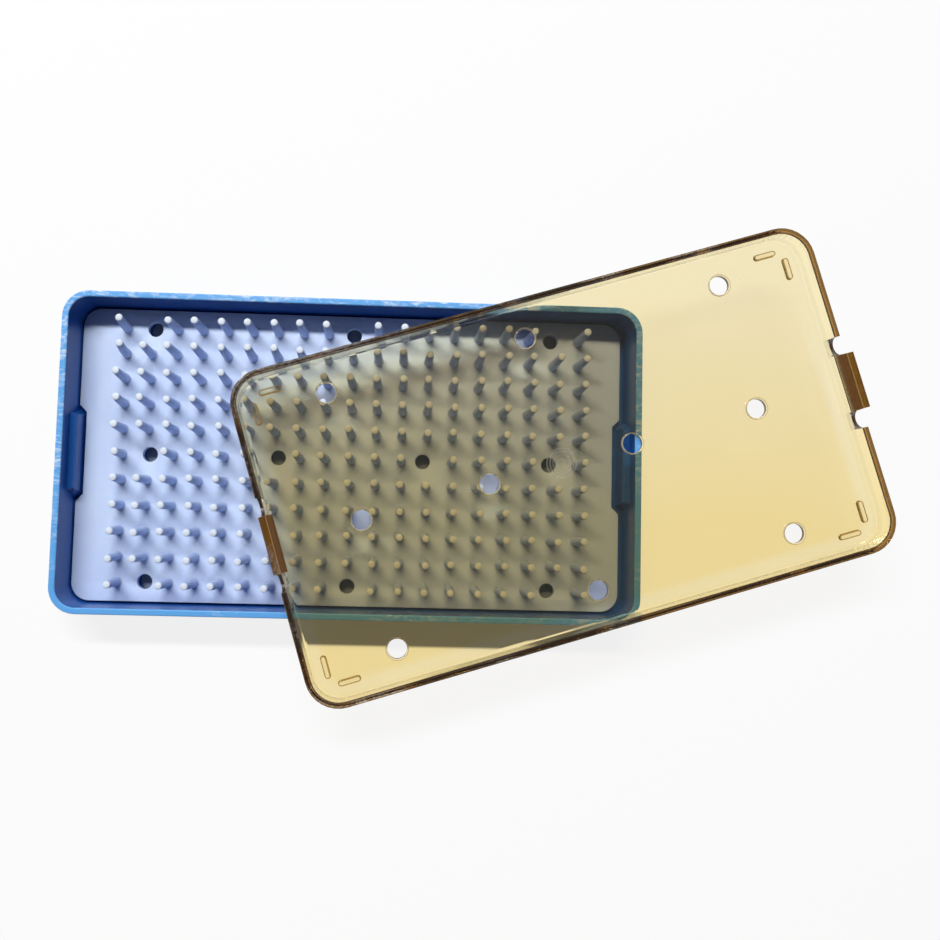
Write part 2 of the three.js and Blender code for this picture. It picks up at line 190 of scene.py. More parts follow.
class StageSettings(PropertyGroup):
    """Camera, lamps and floor."""

    focal_pixels: FloatProperty(
        name="Focal length", description="Focal length in image pixels", default=818.9,
    )
    centre_x: FloatProperty(
        name="Centre X", description="Pixel that the lens looks through", default=413.3,
    )
    centre_y: FloatProperty(
        name="Centre Y", description="Pixel that the lens looks through", default=464.5,
    )
    camera_place: FloatVectorProperty(
        name="Camera", description="Place of the camera", unit="LENGTH",
        size=3, default=(0.01149, -0.01777, 0.28333),
    )
    camera_right: FloatVectorProperty(
        name="Camera right", description="Where the picture's right side points",
        subtype="DIRECTION", size=3, default=(0.99908, 0.025726, 0.034309),
    )
    camera_up: FloatVectorProperty(
        name="Camera up", description="Where the picture's upper side points",
        subtype="DIRECTION", size=3, default=(-0.027735, 0.997846, 0.059445),
    )
    floor_white: colour_setting("Floor", "Colour of the floor", "#f7f7f7")
    # Painted shade: the floor under the tray, seen down the vent holes
    shade_under_tray: colour_setting("Under the tray", "Floor seen down the vent holes", "#8c96aa")
    camera_white: FloatProperty(
        name="White floor", description="Share of the floor shown plain white", default=0.85,
    )
    glass_white: FloatProperty(
        name="White past glass", description="The same, where glass shows it", default=0.86,
    )
    shadow_white: FloatProperty(
        name="White in shadow", description="The same, where the front wall shades the floor",
        default=0.12,
    )
    floor_size: FloatProperty(
        name="Floor size", description="Side of the floor", unit="LENGTH", default=8.0,
    )
    shadow_reach: length_setting(
        "Shadow", "How far the front wall's shadow reaches past the tray", 11.0,
    )
    key_place: FloatVectorProperty(
        name="Key place", description="Place of the long lamp", unit="LENGTH",
        size=3, default=(-0.35, 0.80, 1.25),
    )
    key_power: FloatProperty(
        name="Key lamp", description="Power of the long lamp in watts", default=25.6,
    )
    key_length: FloatProperty(
        name="Key length", description="Length of the lamp", unit="LENGTH", default=1.2,
    )
    key_width: FloatProperty(
        name="Key width", description="Width of the lamp", unit="LENGTH", default=0.12,
    )
    sky_strength: FloatProperty(
        name="Room light", description="Strength of the even light", default=0.055,
    )
    overhead: FloatProperty(
        name="Overhead", description="White that a gloss shows of the ceiling", default=0.2,
    )


def add(tree, kind, inputs=None, out=0, **options):
    """Add one shader node and return an output; each input is a value or a feeding socket."""
    node = tree.nodes.new(kind)
    for name, value in options.items():
        setattr(node, name, value)
    for socket, value in (inputs or {}).items():
        if isinstance(value, bpy.types.NodeSocket):
            tree.links.new(value, node.inputs[socket])
        else:
            node.inputs[socket].default_value = value
    return node.outputs[out]


def new_material(name):
    """Empty node material with its tree and output node."""
    material = bpy.data.materials.new(name)
    material.use_nodes = True
    tree = material.node_tree
    tree.nodes.clear()
    output = tree.nodes.new("ShaderNodeOutputMaterial")
    return material, tree, output


def rgba(colour):
    """Linear colour with full alpha."""
    return (*colour, 1.0)


def per_metre(millimetres):
    """Texture scale at which one pattern cell has the given real size."""
    return 1.0 / (millimetres * MM)


def folded(tree, place):
    """Place with its height left out and its two other sides made positive."""
    flat = add(tree, "ShaderNodeVectorMath", {0: place, 1: (1, 1, 0)}, operation="MULTIPLY")
    return add(tree, "ShaderNodeVectorMath", {0: flat}, operation="ABSOLUTE")


def past_outline(tree, corner_place, half_x, half_y, radius):
    """Distance of a folded place past a rectangle with round corners, under 0 inside it."""
    inner = add(
        tree, "ShaderNodeVectorMath",
        {0: corner_place, 1: (half_x - radius, half_y - radius, 0)}, operation="SUBTRACT",
    )
    corner = add(tree, "ShaderNodeVectorMath", {0: inner, 1: (0, 0, 0)}, operation="MAXIMUM")
    reach = add(tree, "ShaderNodeVectorMath", {0: corner}, out="Value", operation="LENGTH")
    return add(tree, "ShaderNodeMath", {0: reach, 1: radius}, operation="SUBTRACT")


def between(tree, value, low, high, blur):
    """Mask that is 1 where a value lies between two levels, with soft ends."""
    rise = add(
        tree, "ShaderNodeMapRange",
        {"Value": value, "From Min": low - blur / 2, "From Max": low + blur / 2},
    )
    fall = add(
        tree, "ShaderNodeMapRange",
        {"Value": value, "From Min": high + blur / 2, "From Max": high - blur / 2},
    )
    return add(tree, "ShaderNodeMath", {0: rise, 1: fall}, operation="MULTIPLY")


def moulded_polypropylene(settings):
    """Injection moulded blue polypropylene."""
    # The eye gets an even low gloss over a fine grain, faint flow marks in a deep blue, and a rim
    # painted paler for the light it catches, with streaks that the lid has rubbed
    material, tree, output = new_material("moulded_polypropylene")
    place = add(tree, "ShaderNodeTexCoord", out="Object")
    level = add(tree, "ShaderNodeSeparateXYZ", {"Vector": place}, out="Z")
    depth = add(tree, "ShaderNodeSeparateXYZ", {"Vector": place}, out="Y")
    flow = add(
        tree, "ShaderNodeTexNoise",
        {"Vector": place, "Scale": per_metre(30), "Detail": 3.0, "Roughness": 0.5},
    )
    swirl = add(
        tree, "ShaderNodeMapRange", {"Value": flow, "From Min": 0.35, "From Max": 0.65},
    )
    colour = add(
        tree, "ShaderNodeMix",
        {0: swirl, 6: rgba(settings.blue), 7: rgba(settings.deep_blue)},
        out=2, data_type="RGBA",
    )
    # Painted light: the rim's upward faces are painted paler than the walls, for the light they
    # catch. The lid has rubbed whitish streaks into the rim; more of them are drawn towards the
    # back, where they also stand in for the lamp's reflection as a painted highlight
    top = add(
        tree, "ShaderNodeMapRange",
        {
            "Value": level,
            "From Min": TRAY_HIGH.z - 0.5 * MM,
            "From Max": TRAY_HIGH.z - 0.1 * MM,
        },
        interpolation_type="SMOOTHSTEP",
    )
    # Painted light: the rim's top faces take the paler blue
    pale = add(
        tree, "ShaderNodeMix", {0: top, 6: colour, 7: rgba(settings.lit_rim_blue)},
        out=2, data_type="RGBA",
    )
    stretched = add(
        tree, "ShaderNodeVectorMath", {0: place, 1: (0.35, 1.0, 1.0)}, operation="MULTIPLY",
    )
    rub = add(
        tree, "ShaderNodeTexNoise",
        {
            "Vector": stretched, "Scale": per_metre(1.6), "Detail": 6.0,
            "Roughness": 0.7, "Distortion": 0.6,
        },
    )
    patches = add(
        tree, "ShaderNodeTexNoise", {"Vector": place, "Scale": per_metre(26), "Detail": 2.0},
    )
    # Painted highlight: the rubbed streaks are made likelier towards the back, where the lamp's
    # reflection falls on the rim
    painted_light_to_back = add(
        tree, "ShaderNodeMapRange",
        {"Value": depth, "From Min": TRAY_LOW.y, "From Max": TRAY_HIGH.y, "To Max": 0.19},
    )
    likely = add(tree, "ShaderNodeMath", {0: patches, 1: painted_light_to_back}, operation="ADD")
    here = add(
        tree, "ShaderNodeMapRange", {"Value": likely, "From Min": 0.48, "From Max": 0.70},
    )
    streaky = add(
        tree, "ShaderNodeMapRange",
        {"Value": rub, "From Min": 0.48, "From Max": 0.66, "To Max": 0.8},
    )
    wear_and_highlight = add(tree, "ShaderNodeMath", {0: here, 1: streaky}, operation="MULTIPLY")
    # This mask carries the real rubbing and the painted highlight towards the back
    rubbed = add(tree, "ShaderNodeMath", {0: wear_and_highlight, 1: top}, operation="MULTIPLY")
    finished = add(
        tree, "ShaderNodeMix", {0: rubbed, 6: pale, 7: rgba(settings.scuff_and_highlight)},
        out=2, data_type="RGBA",
    )
    gloss = add(
        tree, "ShaderNodeMapRange", {"Value": rubbed, "To Min": 0.26, "To Max": 0.5},
    )
    # The mould's real grain is finer than a pixel, so it is drawn this coarse to show
    grain = add(
        tree, "ShaderNodeTexNoise",
        {"Vector": place, "Scale": 1.0 / settings.grain, "Detail": 2.0},
    )
    bump = add(
        tree, "ShaderNodeBump", {"Height": grain, "Strength": 0.12, "Distance": 0.05 * MM},
    )
    surface = add(
        tree, "ShaderNodeBsdfPrincipled",
        {"Base Color": finished, "Roughness": gloss, "Normal": bump, "IOR": 1.46},
    )
    tree.links.new(surface, output.inputs["Surface"])
    return material


def moulded_silicone(settings):
    """Moulded silicone rubber."""
    # Light soaks in and comes out again, so the eye gets soft shadows and a dull gloss. The
    # fingers' sides are painted darker than the sheet (painted shade) and their tip discs paler
    # (painted highlight)
    material, tree, output = new_material("moulded_silicone")
    place = add(tree, "ShaderNodeTexCoord", out="Object")
    level = add(tree, "ShaderNodeSeparateXYZ", {"Vector": place}, out="Z")
    sheet_top = MAT_LOW.z + settings.sheet_thickness
    off_sheet = add(
        tree, "ShaderNodeMapRange",
        {"Value": level, "From Min": sheet_top, "From Max": sheet_top + 1.5 * MM},
    )
    # Painted shade: the fingers' sides, above the sheet, take the darker foot colour
    low = add(
        tree, "ShaderNodeMix", {0: off_sheet, 6: rgba(settings.sheet), 7: rgba(settings.foot)},
        out=2, data_type="RGBA",
    )
    # Painted highlight: the tip discs take the paler tip colour
    tip_highlight_share = add(
        tree, "ShaderNodeMapRange",
        {
            "Value": level,
            "From Min": MAT_HIGH.z - 0.6 * MM,
            "From Max": MAT_HIGH.z - 0.3 * MM,
        },
    )
    body = add(
        tree, "ShaderNodeMix", {0: tip_highlight_share, 6: low, 7: rgba(settings.tip)},
        out=2, data_type="RGBA",
    )
    cloud = add(
        tree, "ShaderNodeTexNoise", {"Vector": place, "Scale": per_metre(16), "Detail": 3.0},
    )
    mottle = add(
        tree, "ShaderNodeMapRange", {"Value": cloud, "To Min": 0.93, "To Max": 1.05},
    )
    shaded = add(tree, "ShaderNodeVectorMath", {0: body, "Scale": mottle}, operation="SCALE")
    # The matt skin's grain, coarser than the real one so that it shows
    grain = add(
        tree, "ShaderNodeTexNoise", {"Vector": place, "Scale": per_metre(0.5), "Detail": 2.0},
    )
    bump = add(
        tree, "ShaderNodeBump", {"Height": grain, "Strength": 0.15, "Distance": 0.05 * MM},
    )
    surface = add(
        tree, "ShaderNodeBsdfPrincipled",
        {
            "Base Color": shaded,
            "Normal": bump,
            "IOR": 1.41,
            "Roughness": 0.5,
            "Subsurface Weight": 0.6,
            "Subsurface Radius": (1.0, 1.0, 0.9),
            "Subsurface Scale": 1.2 * MM,
        },
    )
    tree.links.new(surface, output.inputs["Surface"])
    return material


def first_rays(tree):
    """Masks of what the camera sees itself, and past glass or in a gloss, in that order."""
    rays = add(tree, "ShaderNodeLightPath").node.outputs
    bent = add(
        tree, "ShaderNodeMath", {0: rays["Is Glossy Ray"], 1: rays["Is Transmission Ray"]},
        operation="MAXIMUM",
    )
    # Not the glass and gloss that only bounced light meets, or it would light the mat
    straight = add(
        tree, "ShaderNodeMath", {0: rays["Diffuse Depth"], 1: 0.5}, operation="LESS_THAN",
    )
    past_glass = add(tree, "ShaderNodeMath", {0: bent, 1: straight}, operation="MULTIPLY")
    first = add(
        tree, "ShaderNodeMath", {0: rays["Is Camera Ray"], 1: past_glass},
        operation="MAXIMUM",
    )
    return first, rays["Is Camera Ray"], past_glass


def lid_frame():
    """Middle of the lid, its turn and the reach of its tabs' hinges, from the joints."""
    joints = {joint["name"]: joint for joint in frame["record"]["behaviour"]["joints"]}
    right = Vector(joints["right_tab_flex"]["pos_m"])
    left = Vector(joints["left_tab_flex"]["pos_m"])
    across = right - left
    return (right + left) / 2, math.atan2(across.y, across.x), across.length / 2


def streaks_along_wall(tree, settings, brown, place, past, depth):
    """Browns of a clear wall seen edge on, in fibrous streaks that follow the wall: partly its
    finish, partly painted light, the pale streaks painted reflections from inside the wall and the
    dark ones painted shade.
    """
    waver = add(
        tree, "ShaderNodeTexNoise", {"Vector": place, "Scale": per_metre(11), "Detail": 4.0},
    )
    bent = add(tree, "ShaderNodeMath", {0: waver, 1: 1.6}, operation="MULTIPLY")
    lane = add(
        tree, "ShaderNodeMath", {0: past, 1: 1.0 / settings.streak, 2: bent},
        operation="MULTIPLY_ADD",
    )
    fibres = add(
        tree, "ShaderNodeTexNoise",
        {"W": lane, "Scale": 1.1, "Detail": 3.0, "Roughness": 0.6}, noise_dimensions="1D",
    )
    dark = add(
        tree, "ShaderNodeMapRange",
        {"Value": fibres, "From Min": 0.50, "From Max": 0.40, "To Max": depth},
    )
    pale = add(
        tree, "ShaderNodeMapRange",
        {"Value": fibres, "From Min": 0.59, "From Max": 0.68, "To Max": depth},
    )
    # Both rounded edges bend the light away and look dark
    inner_line = between(tree, past, -0.1 * MM, 0.22 * MM, 0.1 * MM)
    outer_line = between(tree, past, settings.wall - 0.3 * MM, settings.wall + MM, 0.1 * MM)
    lines = add(tree, "ShaderNodeMath", {0: inner_line, 1: outer_line}, operation="MAXIMUM")
    fainter = add(tree, "ShaderNodeMath", {0: lines, 1: 0.75 * depth}, operation="MULTIPLY")
    shadow = add(tree, "ShaderNodeMath", {0: dark, 1: fainter}, operation="MAXIMUM")
    # Painted reflections: the pale streaks
    streaked = add(
        tree, "ShaderNodeMix", {0: pale, 6: rgba(brown), 7: rgba(settings.pale_edge)},
        out=2, data_type="RGBA",
    )
    return add(
        tree, "ShaderNodeMix", {0: shadow, 6: streaked, 7: rgba(settings.dark_edge)},
        out=2, data_type="RGBA",
    )


def frost_on_wall(tree, place):
    """Mask of pale, speckled patches on the walls' edges, more of them at the left."""
    side = add(tree, "ShaderNodeSeparateXYZ", {"Vector": place}, out="X")
    patches = add(
        tree, "ShaderNodeTexNoise", {"Vector": place, "Scale": per_metre(22), "Detail": 1.0},
    )
    to_left = add(
        tree, "ShaderNodeMapRange",
        {
            "Value": side, "From Min": LID_LOW.x, "From Max": LID_HIGH.x,
            "To Min": 0.09, "To Max": -0.14,
        },
    )
    likely = add(tree, "ShaderNodeMath", {0: patches, 1: to_left}, operation="ADD")
    here = add(
        tree, "ShaderNodeMapRange", {"Value": likely, "From Min": 0.50, "From Max": 0.62},
    )
    specks = add(
        tree, "ShaderNodeTexNoise",
        {"Vector": place, "Scale": per_metre(0.9), "Detail": 4.0, "Roughness": 0.7},
    )
    speckled = add(
        tree, "ShaderNodeMapRange",
        {"Value": specks, "From Min": 0.42, "From Max": 0.62, "To Max": 0.6},
    )
    return add(tree, "ShaderNodeMath", {0: here, 1: speckled}, operation="MULTIPLY")


def rib_masks(tree, settings, corner_place, inner_x, inner_y):
    """Masks of the outline and of the inside of the two ribs in a quarter of the lid."""
    line_x, line_y = inner_x - settings.rib_inset, inner_y - settings.rib_inset
    half_length, half_width = settings.rib_length / 2, settings.rib_width / 2
    ribs = (
        (line_x - settings.rib_offset, line_y, half_length, half_width),
        (line_x, line_y - settings.rib_offset, half_width, half_length),
    )
    nearest = 1.0
    for x, y, half_x, half_y in ribs:
        from_middle = add(
            tree, "ShaderNodeVectorMath", {0: corner_place, 1: (x, y, 0)},
            operation="SUBTRACT",
        )
        beyond = past_outline(tree, folded(tree, from_middle), half_x, half_y, half_width)
        nearest = add(
            tree, "ShaderNodeMath", {0: nearest, 1: beyond}, operation="MINIMUM",
        )
    outline = between(tree, nearest, -0.34 * MM, 0.14 * MM, 0.08 * MM)
    inside = between(tree, nearest, -MM, -0.34 * MM, 0.08 * MM)
    return outline, inside


def vent_masks(tree, settings, corner_place):
    """Masks of the ring of painted glint round each vent hole, of the painted dark line past it
    and of the weld line beside it.
    """
    places = sorted({(abs(x), abs(y)) for x, y in vent_places(bpy.context.scene.tray_mat)})
    nearest = 1.0
    for x, y in places:
        far = add(
            tree, "ShaderNodeVectorMath", {0: corner_place, 1: (x, y, 0)},
            out="Value", operation="DISTANCE",
        )
        nearest = add(tree, "ShaderNodeMath", {0: nearest, 1: far}, operation="MINIMUM")
    ring_radius = settings.hole_radius + settings.chamfer_width
    ring = between(tree, nearest, 0, ring_radius, 0.06 * MM)
    # Painted shade: a thin dark line just past each chamfer, where its edge bends the light away
    border = between(tree, nearest, ring_radius, ring_radius + 0.16 * MM, 0.06 * MM)
    # Where the melt met again past a hole, on the side away from the gate
    side = add(tree, "ShaderNodeSeparateXYZ", {"Vector": corner_place}).node.outputs
    waver = add(
        tree, "ShaderNodeTexNoise",
        {"Vector": corner_place, "Scale": per_metre(4), "Detail": 4.0},
    )
    bent = add(
        tree, "ShaderNodeMath", {0: waver, 1: 0.8 * MM, 2: side["Y"]},
        operation="MULTIPLY_ADD",
    )
    welds = 0.0
    for x, y in places:
        if x > 0:
            along = between(tree, side["X"], x + 3.7 * MM, x + 7.8 * MM, 0.8 * MM)
            across = between(tree, bent, y + 0.32 * MM, y + 0.46 * MM, 0.06 * MM)
            welds = add(
                tree, "ShaderNodeMath", {0: along, 1: across, 2: welds},
                operation="MULTIPLY_ADD",
            )
    return ring, border, welds


def gate_mask(tree, settings, corner_place):
    """Mask of the fine circles of the gate mark in the middle of the plate."""
    away = add(
        tree, "ShaderNodeVectorMath", {0: corner_place}, out="Value", operation="LENGTH",
    )
    circles = 0.0
    for share in (0.3, 0.6, 0.8, 1.0):
        radius = settings.gate_radius * share
        circle = between(tree, away, radius - 0.12 * MM, radius + 0.12 * MM, 0.08 * MM)
        circles = add(tree, "ShaderNodeMath", {0: circles, 1: circle}, operation="MAXIMUM")
    return circles


def lid_layers(tree, settings, corner_place, level, past, inner_x, inner_y):
    """The lid's small faces: for each its mask, its colour and how much of the view it stops."""
    plate_top = LID_LOW.z + settings.plate
    off_wall = between(tree, past, -1.0, -1.0 * MM, 0.1 * MM)
    on_top = between(tree, level, plate_top - 0.1 * MM, plate_top + 1.2 * MM, 0.02 * MM)
    seen = add(tree, "ShaderNodeMath", {0: off_wall, 1: on_top}, operation="MULTIPLY")
    outline, inside = rib_masks(tree, settings, corner_place, inner_x, inner_y)
    ring, border, welds = vent_masks(tree, settings, corner_place)
    gate = gate_mask(tree, settings, corner_place)
    in_hole = between(
        tree, level, LID_LOW.z + settings.chamfer_width,
        plate_top - settings.chamfer_width, 0.04 * MM,
    )
    on_plate = (
        (inside, settings.rib_amber, 0.0),
        (outline, settings.outline, 0.5),
        (welds, settings.weld, 0.35),
        (gate, settings.weld, 0.3),
        # Painted shade: the dark line round each hole
        (border, settings.outline, 0.3),
    )
    layers = []
    for mask, tint, stops in on_plate:
        shown = add(tree, "ShaderNodeMath", {0: mask, 1: seen}, operation="MULTIPLY")
        layers.append((shown, rgba(tint), stops))
    bore = add(tree, "ShaderNodeMath", {0: ring, 1: in_hole}, operation="MULTIPLY")
    # Painted highlight: the cream glint on each hole's chamfer
    layers.append((ring, rgba(settings.chamfer), 0.3))
    layers.append((bore, rgba(settings.outline), 0.5))
    return layers


def notch_masks(tree, settings, corner_place, level, past):
    """Masks of the inner rim and the outer part of the notches beside the snap tabs."""
    side = add(tree, "ShaderNodeSeparateXYZ", {"Vector": corner_place}, out="Y")
    by_tab = between(
        tree, side, settings.tab_width / 2, settings.tab_opening / 2 + 0.1 * MM, 0.02 * MM,
    )
    plate_top = LID_LOW.z + settings.plate
    off_plate = between(tree, level, plate_top + 0.4 * MM, LID_HIGH.z, 0.1 * MM)
    inner = between(tree, past, -0.3 * MM, settings.notch_rim, 0.15 * MM)
    rim = add(tree, "ShaderNodeMath", {0: off_plate, 1: inner}, operation="MULTIPLY")
    above = between(tree, level, plate_top + 1.3 * MM, LID_HIGH.z, 0.1 * MM)
    outer = between(tree, past, settings.notch_rim, settings.wall + 0.2 * MM, 0.15 * MM)
    floor = add(tree, "ShaderNodeMath", {0: above, 1: outer}, operation="MULTIPLY")
    return [
        add(tree, "ShaderNodeMath", {0: mask, 1: by_tab}, operation="MULTIPLY")
        for mask in (rim, floor)
    ]


def amber_of_plate(tree, settings, place, past):
    """Amber of the plate in soft clouds, painted paler to the back for the light there, and paler
    beside the walls as a painted reflection.
    """
    depth = add(tree, "ShaderNodeSeparateXYZ", {"Vector": place}, out="Y")
    # Painted light: paler towards the back
    painted_light_to_back = add(
        tree, "ShaderNodeMapRange",
        {"Value": depth, "From Min": -20 * MM, "From Max": 75 * MM, "To Min": -0.3},
    )
    cloud = add(
        tree, "ShaderNodeTexNoise", {"Vector": place, "Scale": per_metre(55), "Detail": 1.0},
    )
    clouds_and_painted_light = add(
        tree, "ShaderNodeMath", {0: cloud, 1: 0.5, 2: painted_light_to_back}, operation="MULTIPLY_ADD",
    )
    # Painted reflection: paler beside the walls
    wall_reflection = between(tree, past, -4.5 * MM, 0, 2.5 * MM)
    paler = add(
        tree, "ShaderNodeMath", {0: wall_reflection, 1: 0.5, 2: clouds_and_painted_light}, operation="MULTIPLY_ADD",
    )
    return add(
        tree, "ShaderNodeMix",
        {0: paler, 6: rgba(settings.amber), 7: rgba(settings.painted_light_amber)},
        out=2, data_type="RGBA",
    )


def moulded_polyetherimide(name, settings, brown_from, is_tab):
    """Injection moulded polyetherimide, a clear amber polymer that stands a steriliser."""
    # Through a face the eye gets pale amber; along an edge the light has gone a long way
    # inside, so walls, ribs, notches and tabs look brown, with streaks and pale speckled patches
    material, tree, output = new_material(name)
    middle, turn, reach = lid_frame()
    place = add(tree, "ShaderNodeTexCoord", out="Object")
    level = add(tree, "ShaderNodeSeparateXYZ", {"Vector": place}, out="Z")
    straight = add(
        tree, "ShaderNodeMapping",
        {"Vector": place, "Location": (middle.x, middle.y, 0), "Rotation": (0, 0, turn)},
        vector_type="TEXTURE",
    )
    inner_x = reach - settings.wall / 2
    inner_y = inner_x - EXTRA_LENGTH / 2
    corner_place = folded(tree, straight)
    past = past_outline(tree, corner_place, inner_x, inner_y, settings.corner_radius)
    edge = add(
        tree, "ShaderNodeMapRange",
        {"Value": level, "From Min": brown_from - 0.2 * MM, "From Max": brown_from},
    )
    frost = frost_on_wall(tree, place)
    if is_tab:
        # Only the flat end of a tab is frosted, and its inner edge catches the light
        end = between(tree, level, TAB_HIGH.z - 0.1 * MM, TAB_HIGH.z + MM, 0.05 * MM)
        on_end = between(tree, past, -0.3 * MM, 5 * MM, 0.1 * MM)
        there = add(tree, "ShaderNodeMath", {0: end, 1: on_end}, operation="MULTIPLY")
        inner_edge = between(tree, past, -0.5 * MM, -0.3 * MM, 0.1 * MM)
        glint = add(tree, "ShaderNodeMath", {0: edge, 1: inner_edge}, operation="MULTIPLY")
        browns = streaks_along_wall(tree, settings, settings.tab, place, past, 0.25)
        layers = [(edge, browns, 0.5)]
        layers.append((glint, rgba(settings.pale_edge), 0.3))
    else:
        there = edge
        on_wall = add(
            tree, "ShaderNodeMapRange",
            {"Value": past, "From Min": -0.35 * MM, "From Max": -0.15 * MM},
        )
        edge = add(tree, "ShaderNodeMath", {0: edge, 1: on_wall}, operation="MULTIPLY")
        layers = lid_layers(tree, settings, corner_place, level, past, inner_x, inner_y)
        rim, notch = notch_masks(tree, settings, corner_place, level, past)
        layers.append((rim, rgba(settings.chamfer), 0.18))
        layers.append((notch, rgba(settings.notch), 0.7))
        browns = streaks_along_wall(tree, settings, settings.edge, place, past, 1.0)
        layers.append((edge, browns, 0.15))
    frosted = add(tree, "ShaderNodeMath", {0: frost, 1: there}, operation="MULTIPLY")
    layers.append((frosted, rgba(settings.frost), 0.6))
    colour = amber_of_plate(tree, settings, place, past)
    stopped = 0.0
    for mask, tint, stops in layers:
        colour = add(
            tree, "ShaderNodeMix", {0: mask, 6: colour, 7: tint}, out=2, data_type="RGBA",
        )
        held = add(tree, "ShaderNodeMath", {0: mask, 1: stops}, operation="MULTIPLY")
        stopped = add(tree, "ShaderNodeMath", {0: stopped, 1: held}, operation="MAXIMUM")
    clear_share = add(tree, "ShaderNodeMath", {0: 1.0, 1: stopped}, operation="SUBTRACT")
    haze = add(
        tree, "ShaderNodeMapRange",
        {"Value": stopped, "From Max": 0.5, "To Min": settings.roughness, "To Max": 0.3},
    )
    # The moulded faces are not quite flat, which bends what they reflect
    ripple = add(
        tree, "ShaderNodeTexNoise", {"Vector": place, "Scale": per_metre(30), "Detail": 2.0},
    )
    bump = add(
        tree, "ShaderNodeBump", {"Height": ripple, "Strength": 0.06, "Distance": 0.4 * MM},
    )
    surface = add(
        tree, "ShaderNodeBsdfPrincipled",
        {
            "Base Color": colour,
            "Transmission Weight": clear_share,
            "Roughness": haze,
            "Normal": bump,
            "IOR": settings.ior,
            "Specular IOR Level": 0.12 if is_tab else 0.5,
        },
    )
    # Lamps and the room shine straight through, so what lies below is lit, a little dimmer
    dimmed = add(tree, "ShaderNodeBsdfTransparent", {"Color": rgba(settings.shade)})
    for kind in ("Is Diffuse Ray", "Is Shadow Ray"):
        ray = add(tree, "ShaderNodeLightPath", out=kind)
        surface = add(tree, "ShaderNodeMixShader", {0: ray, 1: surface, 2: dimmed})
    tree.links.new(surface, output.inputs["Surface"])
    return material


def give_material(piece, material):
    """Put one material on every slot of a piece."""
    piece.data.materials.clear()
    piece.data.materials.append(material)


def new_piece(name, bm):
    """Make a bmesh an object of the scene, with its faces pointing outwards."""
    bmesh.ops.recalc_face_normals(bm, faces=bm.faces)
    mesh = bpy.data.meshes.new(name)
    bm.to_mesh(mesh)
    bm.free()
    piece = bpy.data.objects.new(name, mesh)
    bpy.context.scene.collection.objects.link(piece)
    return piece


def apply_modifiers(piece):
    """Bake a piece's modifiers into its mesh."""
    bpy.context.view_layer.update()
    graph = bpy.context.evaluated_depsgraph_get()
    finished = bpy.data.meshes.new_from_object(piece.evaluated_get(graph))
    piece.modifiers.clear()
    piece.data = finished


def cut_with(piece, cutter):
    """Cut one piece with another, which is then removed."""
    cut = piece.modifiers.new("cut", "BOOLEAN")
    cut.operation = "DIFFERENCE"
    cut.solver = "EXACT"
    cut.object = cutter
    apply_modifiers(piece)
    bpy.data.objects.remove(cutter)


def vent_places(settings):
    """The ten vent holes, from the mat's middle."""
    outer, inner, row = settings.vent_outer, settings.vent_inner, settings.vent_row
    rows = [(x, y) for y in (row, -row) for x in (-outer, 0.0, outer)]
    return rows + [(x, 0.0) for x in (-outer, -inner, inner, outer)]


def make_sheet(settings, middle):
    """Sheet of the mat: round corners, a notch at each end and the vent holes."""
    length = MAT_HIGH.x - MAT_LOW.x
    width = MAT_HIGH.y - MAT_LOW.y
    thickness = settings.sheet_thickness
    bm = bmesh.new()
    bmesh.ops.create_cube(bm, size=1.0)
    bmesh.ops.scale(bm, vec=(length, width, thickness), verts=bm.verts)
    uprights = [e for e in bm.edges if abs((e.verts[0].co - e.verts[1].co).z) > thickness / 2]
    bmesh.ops.bevel(
        bm, geom=uprights, offset=settings.corner_radius, segments=10,
        profile=0.5, affect="EDGES", material=-1,
    )
    level = MAT_LOW.z + thickness / 2
    bmesh.ops.translate(bm, vec=(middle.x, middle.y, level), verts=bm.verts)
    sheet = new_piece("silicone_finger_mat", bm)

    overrun = 4 * MM
    cutters = bmesh.new()
    for side in (-1, 1):
        made = bmesh.ops.create_cube(cutters, size=1.0)["verts"]
        reach = settings.notch_depth + overrun
        bmesh.ops.scale(cutters, vec=(reach, settings.notch_width, thickness * 3), verts=made)
        for vert in made:
            if vert.co.x * side > 0:
                vert.co.y += math.copysign(reach, vert.co.y)
        end = length / 2 + overrun - reach / 2
        bmesh.ops.translate(
            cutters, vec=(middle.x + side * end, middle.y, level), verts=made,
        )
    for x, y in vent_places(settings):
        made = bmesh.ops.create_cone(
            cutters, cap_ends=True, segments=40, depth=thickness * 3,
            radius1=settings.vent_diameter / 2, radius2=settings.vent_diameter / 2,
        )["verts"]
        bmesh.ops.translate(cutters, vec=(middle.x + x, middle.y + y, level), verts=made)
    cut_with(sheet, new_piece("mat_cutters", cutters))

    rounding = sheet.modifiers.new("edges", "BEVEL")
    rounding.width = settings.edge_round
    rounding.segments = 3
    rounding.limit_method = "ANGLE"
    rounding.angle_limit = math.radians(40)
    apply_modifiers(sheet)
    return sheet


